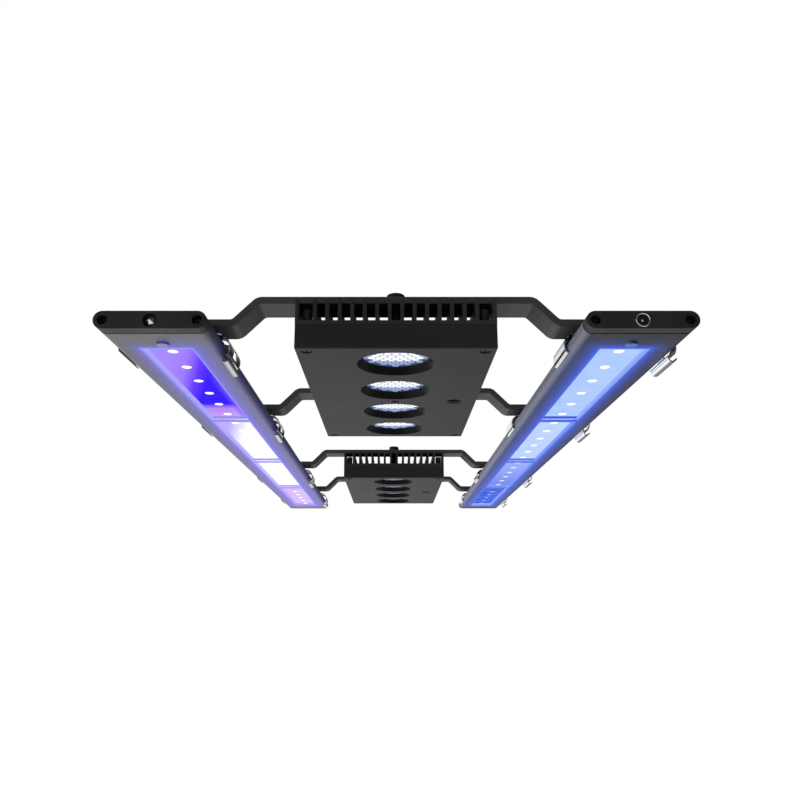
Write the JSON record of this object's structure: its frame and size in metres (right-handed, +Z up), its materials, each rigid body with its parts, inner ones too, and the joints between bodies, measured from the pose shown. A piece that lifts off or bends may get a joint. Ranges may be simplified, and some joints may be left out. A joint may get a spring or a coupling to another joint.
{
  "type": "led aquarium light",
  "caption": "Aquarium light: slim LED strips either side of box heads with round lenses, joined by gull-wing crossbars and spring clips.",
  "frame": {"origin": "centre of the whole light in plan, level with its lowest point, the pull tabs of the spring clips; the clips reach 2 mm further to +X than to -X, so strips and heads sit 1 mm to -X of it", "axes": "+X across the light to the right, +Y along its length away from the connectors, +Z up, away from the water"},
  "size_m": [0.3924, 0.99, 0.0573],
  "materials": {
    "strip_metal": "anodised satin grey-black",
    "cap_plastic": "moulded black",
    "gasket_rubber": "matt black",
    "clear_cover": "clear, lightly frosted",
    "board": "white solder mask",
    "driver_board": "green solder mask",
    "head_metal": "fine black powder coat",
    "sink_metal": "black anodised extrusion",
    "lens": "pebbled optic",
    "button_plastic": "moulded black",
    "fan_plastic": "moulded black",
    "rotor_plastic": "moulded black",
    "bar_metal": "black powder coat",
    "knob_metal": "black anodised",
    "chrome": "polished"
  },
  "bodies": {
    "frame": {"near_housing": "head_metal", "near_heat_sink": "sink_metal", "near_lens_1": "lens", "near_lens_2": "lens", "near_lens_3": "lens", "near_lens_4": "lens", "near_led_board": "board", "near_driver_board": "driver_board", "near_fan_frame": "fan_plastic", "far_housing": "head_metal", "far_heat_sink": "sink_metal", "far_lens_1": "lens", "far_lens_2": "lens", "far_lens_3": "lens", "far_lens_4": "lens", "far_led_board": "board", "far_driver_board": "driver_board", "far_fan_frame": "fan_plastic", "crossbar_1": "bar_metal", "crossbar_2": "bar_metal", "crossbar_3": "bar_metal", "crossbar_4": "bar_metal", "left_clip_1": "chrome", "left_clip_2": "chrome", "left_clip_3": "chrome", "left_clip_4": "chrome", "right_clip_1": "chrome", "right_clip_2": "chrome", "right_clip_3": "chrome", "right_clip_4": "chrome"},
    "left_strip": {"left_strip_channel": "strip_metal", "left_near_end_cap": "cap_plastic", "left_near_cap_gasket": "gasket_rubber", "left_far_end_cap": "cap_plastic", "left_far_cap_gasket": "gasket_rubber", "left_strip_connector": "chrome", "left_window_cover": "clear_cover", "left_led_board_1": "board", "left_led_board_2": "board", "left_led_board_3": "board", "left_led_board_4": "board"},
    "right_strip": {"right_strip_channel": "strip_metal", "right_near_end_cap": "cap_plastic", "right_near_cap_gasket": "gasket_rubber", "right_far_end_cap": "cap_plastic", "right_far_cap_gasket": "gasket_rubber", "right_strip_connector": "chrome", "right_window_cover": "clear_cover", "right_led_board_1": "board", "right_led_board_2": "board", "right_led_board_3": "board", "right_led_board_4": "board"},
    "thumb_screw_1": {"thumb_screw_1": "knob_metal"},
    "thumb_screw_2": {"thumb_screw_2": "knob_metal"},
    "thumb_screw_3": {"thumb_screw_3": "knob_metal"},
    "thumb_screw_4": {"thumb_screw_4": "knob_metal"},
    "near_button": {"near_button": "button_plastic"},
    "near_fan_rotor": {"near_fan_rotor": "rotor_plastic"},
    "far_button": {"far_button": "button_plastic"},
    "far_fan_rotor": {"far_fan_rotor": "rotor_plastic"}
  },
  "joints": [
    {"name": "left_strip_slide", "type": "slide", "parent": "frame", "child": "left_strip", "axis": [0, 1, 0], "range_m": [-0.05, 0.05]},
    {"name": "right_strip_slide", "type": "slide", "parent": "frame", "child": "right_strip", "axis": [0, 1, 0], "range_m": [-0.05, 0.05]},
    {"name": "thumb_screw_1_turn", "type": "hinge", "parent": "frame", "child": "thumb_screw_1", "pos_m": [-0.00087, -0.41995, 0.05105], "axis": [0, 0, 1], "continuous": true},
    {"name": "thumb_screw_2_turn", "type": "hinge", "parent": "frame", "child": "thumb_screw_2", "pos_m": [-0.00087, -0.16925, 0.05105], "axis": [0, 0, 1], "continuous": true},
    {"name": "thumb_screw_3_turn", "type": "hinge", "parent": "frame", "child": "thumb_screw_3", "pos_m": [-0.00087, 0.16925, 0.05105], "axis": [0, 0, 1], "continuous": true},
    {"name": "thumb_screw_4_turn", "type": "hinge", "parent": "frame", "child": "thumb_screw_4", "pos_m": [-0.00087, 0.41995, 0.05105], "axis": [0, 0, 1], "continuous": true},
    {"name": "near_button_press", "type": "slide", "parent": "frame", "child": "near_button", "axis": [0, 0, 1], "range_m": [0, 0.001], "stiffness_N_per_m": 800, "springref_m": -0.001},
    {"name": "near_fan_spin", "type": "hinge", "parent": "frame", "child": "near_fan_rotor", "pos_m": [-0.00087, -0.2946, 0.0339], "axis": [0, 0, 1], "continuous": true},
    {"name": "far_button_press", "type": "slide", "parent": "frame", "child": "far_button", "axis": [0, 0, 1], "range_m": [0, 0.001], "stiffness_N_per_m": 800, "springref_m": -0.001},
    {"name": "far_fan_spin", "type": "hinge", "parent": "frame", "child": "far_fan_rotor", "pos_m": [-0.00087, 0.2946, 0.0339], "axis": [0, 0, 1], "continuous": true}
  ]
}
